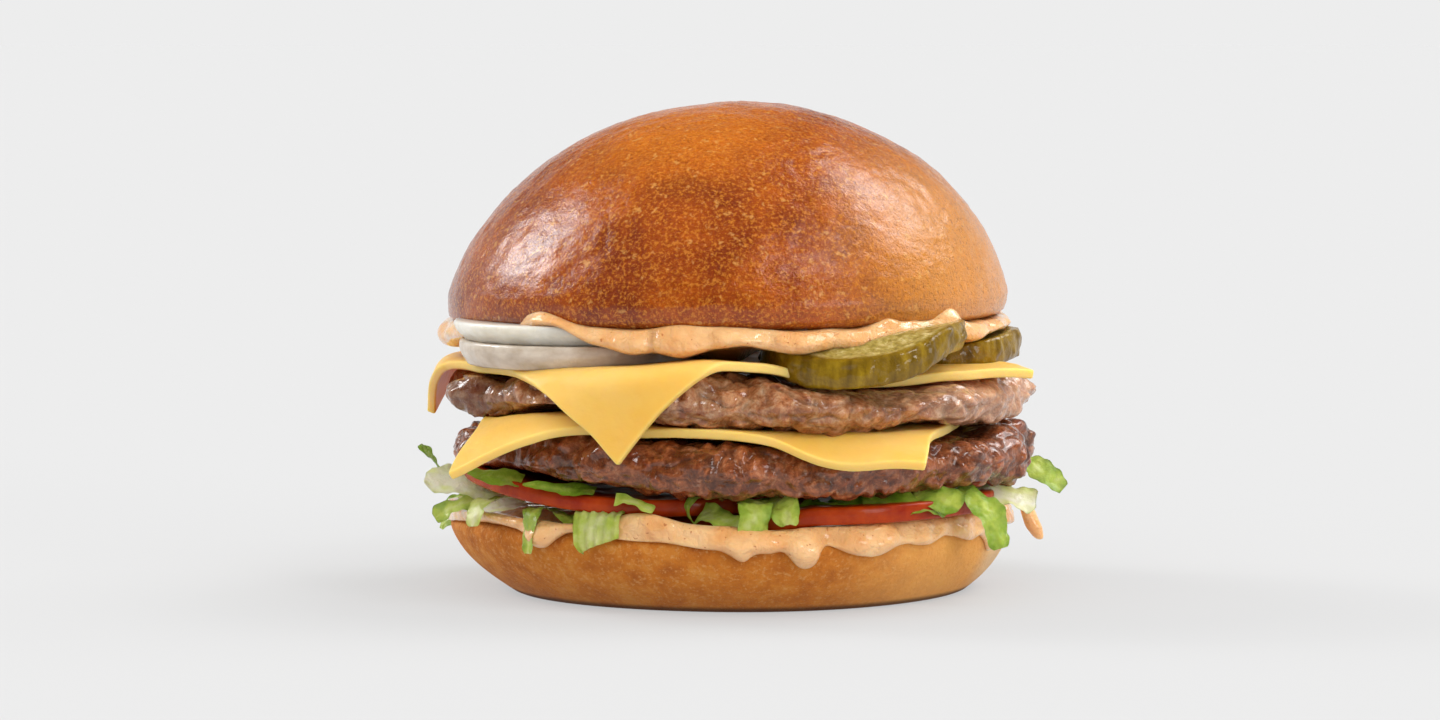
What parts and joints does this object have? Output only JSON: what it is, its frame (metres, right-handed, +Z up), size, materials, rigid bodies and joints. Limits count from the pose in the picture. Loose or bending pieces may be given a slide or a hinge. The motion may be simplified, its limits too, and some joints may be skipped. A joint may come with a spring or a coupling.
{
  "type": "double cheeseburger",
  "caption": "Tall cheeseburger in a glossy round bun: stacked beef patties with draped cheese, onion, pickle, tomato, shredded lettuce and creamy sauce.",
  "frame": {"origin": "on the surface that the burger rests on, under the middle of the rim of the bun's heel", "axes": "+Z up through the stack, -Y towards the front where a cheese corner hangs down, +X to the right of that front"},
  "size_m": [0.1212, 0.1178, 0.0893],
  "materials": {
    "glazed_crust": "egg-washed, glossy golden-brown bread crust",
    "heel_crust": "matte golden bread crust",
    "sauce": "wet, creamy pink-orange burger sauce",
    "tomato": "moist ripe tomato slice",
    "beef": "seared, craggy ground beef with juicy highlights",
    "cheese": "soft satin yellow cheese slice",
    "onion": "moist translucent white onion",
    "pickle": "wet olive-green pickled cucumber",
    "lettuce": "crisp green lettuce, paler at the rib"
  },
  "bodies": {
    "root": {"bun_heel": "heel_crust", "sauce_lower": "sauce", "sauce_drip": "sauce", "tomato_left": "tomato", "tomato_right": "tomato", "patty_lower": "beef", "cheese_lower": "cheese", "patty_upper": "beef", "cheese_upper": "cheese", "onion_lower": "onion", "onion_upper": "onion", "pickle_front": "pickle", "pickle_side": "pickle", "sauce_upper": "sauce", "bun_crown": "glazed_crust", "lettuce_01": "lettuce", "lettuce_02": "lettuce", "lettuce_03": "lettuce", "lettuce_04": "lettuce", "lettuce_05": "lettuce", "lettuce_06": "lettuce", "lettuce_07": "lettuce", "lettuce_08": "lettuce", "lettuce_09": "lettuce", "lettuce_10": "lettuce", "lettuce_11": "lettuce", "lettuce_12": "lettuce", "lettuce_13": "lettuce", "lettuce_14": "lettuce", "lettuce_15": "lettuce", "lettuce_16": "lettuce", "lettuce_17": "lettuce", "lettuce_18": "lettuce", "lettuce_19": "lettuce", "lettuce_20": "lettuce", "lettuce_21": "lettuce", "lettuce_22": "lettuce", "lettuce_23": "lettuce", "lettuce_24": "lettuce", "lettuce_25": "lettuce", "lettuce_26": "lettuce", "lettuce_27": "lettuce", "lettuce_28": "lettuce", "lettuce_29": "lettuce", "lettuce_30": "lettuce", "lettuce_31": "lettuce", "lettuce_32": "lettuce", "lettuce_33": "lettuce", "lettuce_34": "lettuce"}
  },
  "joints": []
}
